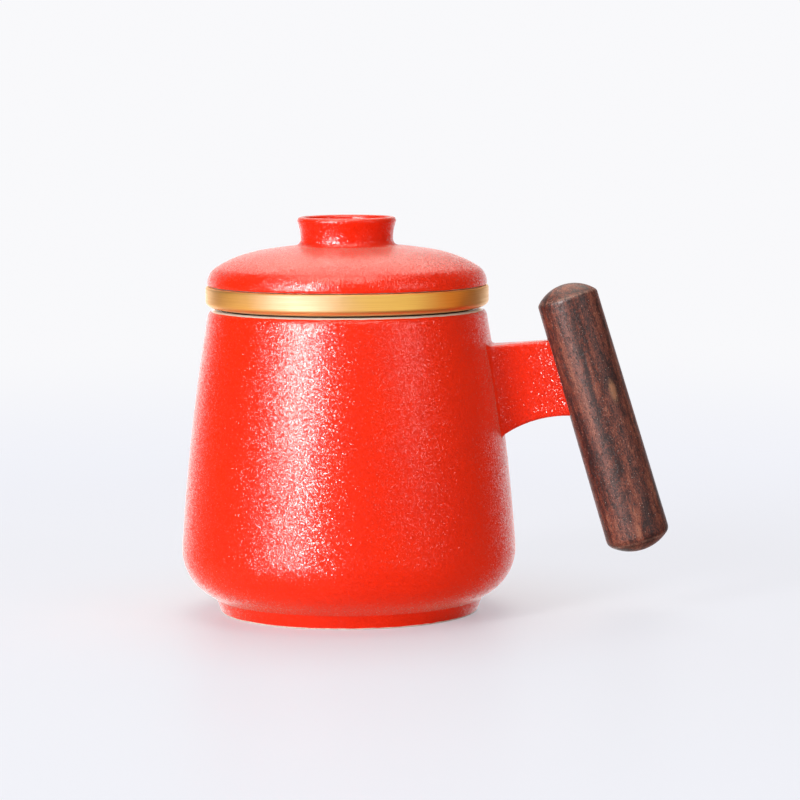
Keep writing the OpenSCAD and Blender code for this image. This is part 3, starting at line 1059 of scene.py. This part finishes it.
gold, tree, shader, spot = new_material("satin_gold")
squeezed = add(tree, "Mapping", {"Vector": spot, "Scale": BRUSH}).outputs[0]
lines = noise(tree, squeezed, 1.0, Roughness=0.6)
cloud = noise(tree, spot, 90.0)
bump = add(tree, "Bump", {"Height": lines, "Strength": 0.5, "Distance": 0.02 * MM})
feed(tree, shader, {
    "Base Color": blend(tree, fit(tree, lines, 0.35, 0.7), GOLD, GOLD_DEEP),
    "Metallic": 1.0,
    "Roughness": fit(tree, calc(tree, "ADD", lines, cloud), 0.8, 1.2, 0.34, 0.46),
    "Normal": bump.outputs[0],
})
dress(band, gold)

# %% [markdown]
# ## Adhesive
#
# Little of the adhesive shows, at most a thin line round the lug. It is a cloudy brown resin.

# %% Adhesive
RESIN = (0.10, 0.055, 0.035)
RESIN_PALE = (0.17, 0.10, 0.065)

resin, tree, shader, spot = new_material("cured_resin")
cloud = noise(tree, spot, 500.0)
bump = add(tree, "Bump", {"Height": cloud, "Distance": 0.05 * MM})
feed(tree, shader, {
    "Base Color": blend(tree, cloud, RESIN, RESIN_PALE),
    "Roughness": fit(tree, cloud, 0.3, 0.7, 0.35, 0.55),
    "Normal": bump.outputs[0],
})
dress(glue, resin)

# %% [markdown]
# ## Dark wood
#
# The grain runs along the grip, so the pattern's own Z axis is turned to the grip's axis first. Dark and
# red-brown bands, streaks, a mottle, short open pores and a fine speckle are all stretched noise, each at its
# own scale. The ends show the same pattern cut across.

# %% Grain of the wood
wood, tree, shader, spot = new_material("oiled_dark_wood")
grip_place = {"Location": (GRIP_X * MM, 0, GRIP_Z * MM), "Rotation": (0, -math.radians(GRIP_TILT), 0)}
local = add(tree, "Mapping", {"Vector": spot, **grip_place}, vector_type="TEXTURE").outputs[0]


def along(squeeze, lean=0.0):
    """The grip's own coordinates, with the pattern drawn out along the grain."""
    drawn_out = {"Vector": local, "Rotation": (lean, lean, 0), "Scale": (1, 1, squeeze)}
    return add(tree, "Mapping", drawn_out).outputs[0]


bands = noise(tree, along(0.12, 0.05), 210.0, 5.0, Distortion=0.9)
streaks = noise(tree, along(0.07, 0.04), 760.0, 4.0)
mottle = noise(tree, along(0.45), 620.0, 5.0)
pore = fit(tree, noise(tree, along(0.30), 2300.0, 2.0), 0.56, 0.67)
speckle = noise(tree, along(0.6), 3200.0, 1.0)
tone = sway(tree, bands, streaks, 0.60)
tone = sway(tree, tone, speckle, 0.75)
tone = sway(tree, tone, mottle, 0.65)

# %% Colours of the wood
WOOD_TONES = (
    (0.28, (0.034, 0.013, 0.012)),
    (0.42, (0.085, 0.025, 0.018)),
    (0.52, (0.148, 0.036, 0.022)),
    (0.62, (0.195, 0.052, 0.030)),
    (0.80, (0.290, 0.098, 0.055)),
)
ramp = add(tree, "ValToRGB", {"Fac": tone})
stops = ramp.color_ramp.elements
stops.remove(stops[1])
for number, (position, wood_tone) in enumerate(WOOD_TONES):
    stop = stops.new(position) if number else stops[0]
    stop.position = position
    stop.color = (*wood_tone, 1)
colour = ramp.outputs["Color"]
print("tones in the wood:", len(stops))

# %% [markdown]
# ### Wear, painted highlights and dust
#
# A hand has rubbed a paler patch on the grip's side. Along the crease beside each dome, a paler, mottled band
# is
# painted: a painted highlight where the edge catches the light. The pores are nearly black, and pale dust
# lies on the wood in small flecks, each in its own cell of a Voronoi texture.

# %% Wear, painted highlights and dust
RUBBED = (0.40, 0.17, 0.08)
RUBBED_AT = (5.4, -6.8, -28.0)  # in the grip's own coordinates, in millimetres
RUBBED_SIZE = (0.75, 0.75, 2.6)
CREASE_HIGHLIGHT = (0.33, 0.16, 0.11)
CREASES = (1.0, -GRIP_LEN - 1.9)  # their heights, just beyond the ends of the side
CREASE = (0.1, 0.5)  # half their width, in the middle and with the soft border
PORE = (0.016, 0.009, 0.009)
DUST = (0.50, 0.33, 0.26)
COVER = 0.65  # how strongly the patch, the pores and the dust cover the wood

patch_place = {"Location": [v * MM for v in RUBBED_AT], "Scale": [v * MM for v in RUBBED_SIZE]}
patch = add(tree, "Mapping", {"Vector": local, **patch_place}, vector_type="TEXTURE").outputs[0]
patch = add(tree, "VectorMath", {0: patch}, operation="LENGTH").outputs["Value"]
patch = fit(tree, calc(tree, "MULTIPLY_ADD", mottle, -2.2, patch), -0.6, 0.9, 1.0, 0.0)
colour = blend(tree, calc(tree, "MULTIPLY", patch, COVER), colour, RUBBED)

height = add(tree, "SeparateXYZ", {0: local}).outputs[2]
# painted highlight: a paler band along each crease, where the edge catches the light
for crease in CREASES:
    off = calc(tree, "ABSOLUTE", calc(tree, "SUBTRACT", height, crease * MM))
    near = fit(tree, off, *(v * MM for v in CREASE), 1.0, 0.0)
    crease_highlight = calc(tree, "MULTIPLY", near, fit(tree, mottle, 0.3, 0.7, 0.1, 0.6))
    colour = blend(tree, crease_highlight, colour, CREASE_HIGHLIGHT)

dust = add(tree, "TexVoronoi", {"Vector": local, "Scale": 1300.0}).outputs
odd = add(tree, "SeparateColor", {0: dust["Color"]}).outputs[0]
near = fit(tree, dust["Distance"], 0.10, 0.22, 1.0, 0.0)
fleck = calc(tree, "MULTIPLY", near, fit(tree, odd, 0.45, 0.95))
colour = blend(tree, calc(tree, "MULTIPLY", pore, COVER), colour, PORE)
colour = blend(tree, calc(tree, "MULTIPLY", fleck, COVER), colour, DUST)

# %% Skin of the wood
relief = calc(tree, "SUBTRACT", calc(tree, "MULTIPLY", streaks, 0.6), pore)
bump = add(tree, "Bump", {"Height": relief, "Strength": 0.8, "Distance": 0.05 * MM})
oiled = fit(tree, bands, 0.3, 0.7, 0.42, 0.52)
feed(tree, shader, {
    "Base Color": colour,
    "Roughness": calc(tree, "MULTIPLY_ADD", pore, 0.20, oiled),
    "IOR": 1.30,
    "Normal": bump.outputs[0],
})
dress(grip, wood)

# %% [markdown]
# ## The lamps
#
# A softbox at the left of the camera has the bright glittering band down the mug's side as its mirror image.
# Two panels overhead give the lid its sheen, and a weak lamp at the right lifts the shadow side. Most are
# split in two, one lamp for matt light and one for gloss, so that each can have its own power. The matt one
# stands a little behind the other, because a ray that meets two lamps at one distance sees only the first.
#
# Metal shows nothing but reflections, so the gold band has soft panels of its own all round: light linking
# keeps them off the rest, and the hard lamps off the band.

# %% Lamps
def link_set(name, state):
    """A collection that includes the band in a lamp's light, or excludes it."""
    made = bpy.data.collections.new(name)
    made.objects.link(band)
    made.collection_objects[0].light_linking.link_state = state
    return made


band_only = link_set("band_only", "INCLUDE")
all_but_band = link_set("all_but_band", "EXCLUDE")
MIDDLE = (0, 0, 60 * MM)
MATT_BEHIND = 30 * MM


def softbox(name, place, size, matt=0.0, gloss=0.0, lights=None, colour=(1, 1, 1)):
    """A rectangular lamp that faces the object, with separate powers for matt light and for gloss."""
    for part, power in (("matt", matt), ("gloss", gloss)):
        if power == 0:
            continue
        light = bpy.data.lights.new(f"{name}_{part}", "AREA")
        light.shape = "RECTANGLE"
        light.size, light.size_y = size
        light.energy = power
        light.color = colour
        made = bpy.data.objects.new(light.name, light)
        aim = Vector(MIDDLE) - Vector(place)
        made.location = Vector(place) - aim.normalized() * (MATT_BEHIND if part == "matt" else 0)
        made.rotation_euler = aim.to_track_quat("-Z", "Y").to_euler()
        made.visible_diffuse = part == "matt"
        made.visible_glossy = part == "gloss"
        if part == "gloss" and lights:
            made.light_linking.receiver_collection = lights
        bpy.context.scene.collection.objects.link(made)
        print(f"{light.name}: {power} W, {aim.length:.2f} m away")


WARM = (1.0, 0.96, 0.86)
softbox("key_left", (-0.655, -1.065, 0.50), (0.30, 0.90), matt=11.6, gloss=86.0, lights=all_but_band)
softbox("overhead", (-0.10, 0.60, 1.35), (1.2, 1.8), matt=9.3, gloss=26.5, colour=WARM)
softbox("overhead_front", (-0.08, -0.42, 1.25), (1.2, 0.6), gloss=30.0, lights=all_but_band, colour=WARM)
softbox("fill_right", (1.13, -0.77, 0.62), (0.16, 0.6), matt=1.95, gloss=7.5, lights=all_but_band)

# %% Panels for the band
PANEL_AWAY = 1.3
PANEL_UP = 0.30
PANEL_HIGH = 3.6
PANELS = (  # name, degrees round from the front, width, power, colour
    ("band_key", -33, 1.3, 72.0, (0.36, 0.46, 1.0)),
    ("band_front", 40, 1.9, 20.0, (0.90, 1.0, 0.68)),
    ("band_left", -84, 1.0, 6.0, (1.0, 0.85, 0.15)),
    ("band_right", 98, 1.0, 6.0, (1.0, 0.38, 0.03)),
    ("band_back", -134, 0.9, 2.0, (1.0, 0.88, 0.95)),
)
for name, degrees, width, power, colour in PANELS:
    angle = math.radians(degrees)
    place = (PANEL_AWAY * math.sin(angle), -PANEL_AWAY * math.cos(angle), PANEL_UP)
    softbox(name, place, (width, PANEL_HIGH), gloss=power, lights=band_only, colour=colour)

# %% [markdown]
# ## Finish
#
# The last step leaves nothing selected.

# %% Deselect
deselect()
